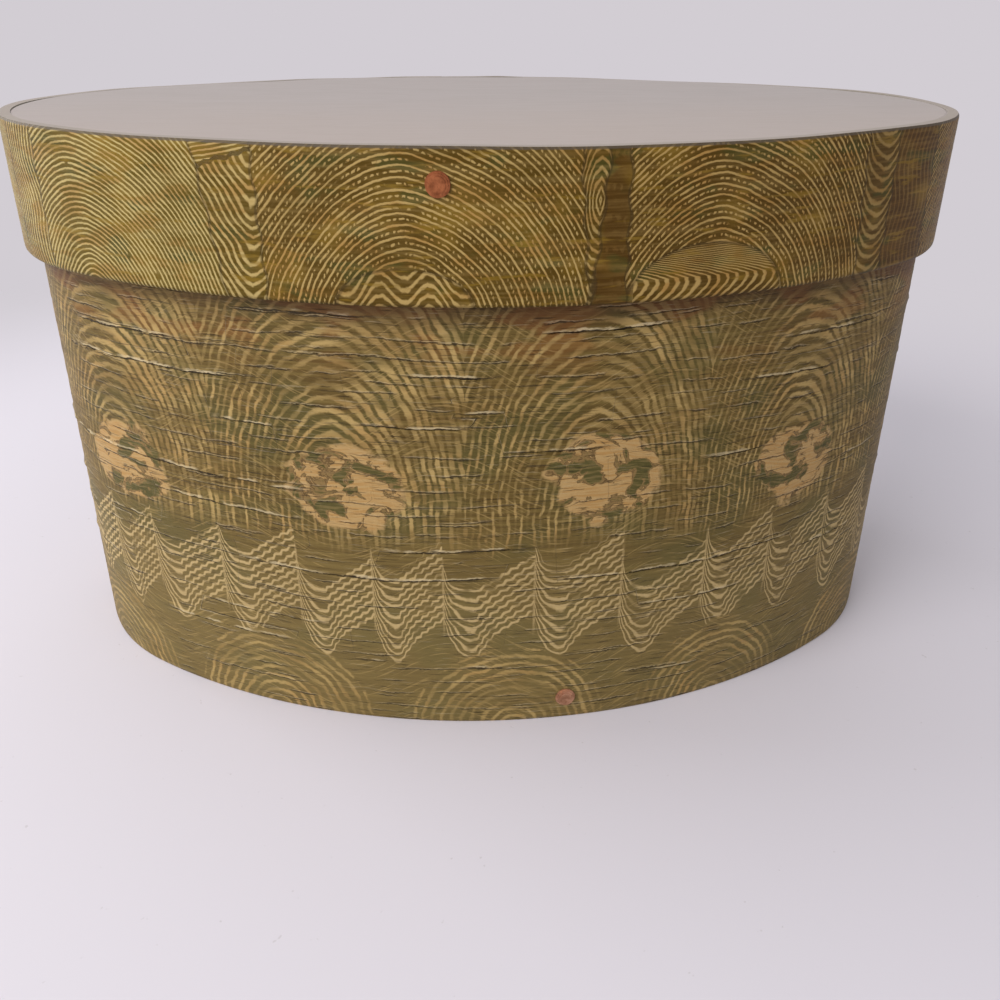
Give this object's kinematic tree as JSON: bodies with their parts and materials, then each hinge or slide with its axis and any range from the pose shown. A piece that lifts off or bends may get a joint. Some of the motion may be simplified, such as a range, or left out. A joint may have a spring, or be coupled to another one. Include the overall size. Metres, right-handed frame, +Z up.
{
  "type": "shaker oval box",
  "caption": "Oval bentwood box with a lift-off lid, its bands lapped at the back and held by copper tacks.",
  "frame": {"origin": "middle of the underside of the closed box, on the axis of the oval", "axes": "+X along the oval, -Y towards the plain front, +Z up out of the lid; the lap is at +Y"},
  "size_m": [0.2304, 0.1592, 0.1344],
  "materials": {
    "body_band": "grain-painted, matte",
    "lid_band": "grain-painted, satin",
    "bottom_board": "bare",
    "lid_board": "painted grey, matte",
    "copper": "tarnished copper"
  },
  "bodies": {
    "box": {"body_band": "body_band", "bottom_board": "bottom_board", "bottom_tack_front": "copper", "bottom_tack_right": "copper", "bottom_tack_back": "copper", "bottom_tack_left": "copper", "body_finger_1_root_tack": "copper", "body_finger_1_tip_tack": "copper", "body_finger_2_root_tack": "copper", "body_finger_2_tip_tack": "copper", "body_finger_3_root_tack": "copper", "body_finger_3_tip_tack": "copper", "body_finger_4_root_tack": "copper", "body_finger_4_tip_tack": "copper"},
    "lid": {"lid_band": "lid_band", "lid_board": "lid_board", "lid_tack_front": "copper", "lid_tack_right": "copper", "lid_tack_back": "copper", "lid_tack_left": "copper", "lid_finger_root_tack": "copper", "lid_finger_tip_tack": "copper"}
  },
  "joints": [
    {"name": "lid_lift", "type": "slide", "parent": "box", "child": "lid", "axis": [0, 0, 1], "range_m": [0, 0.06]}
  ]
}
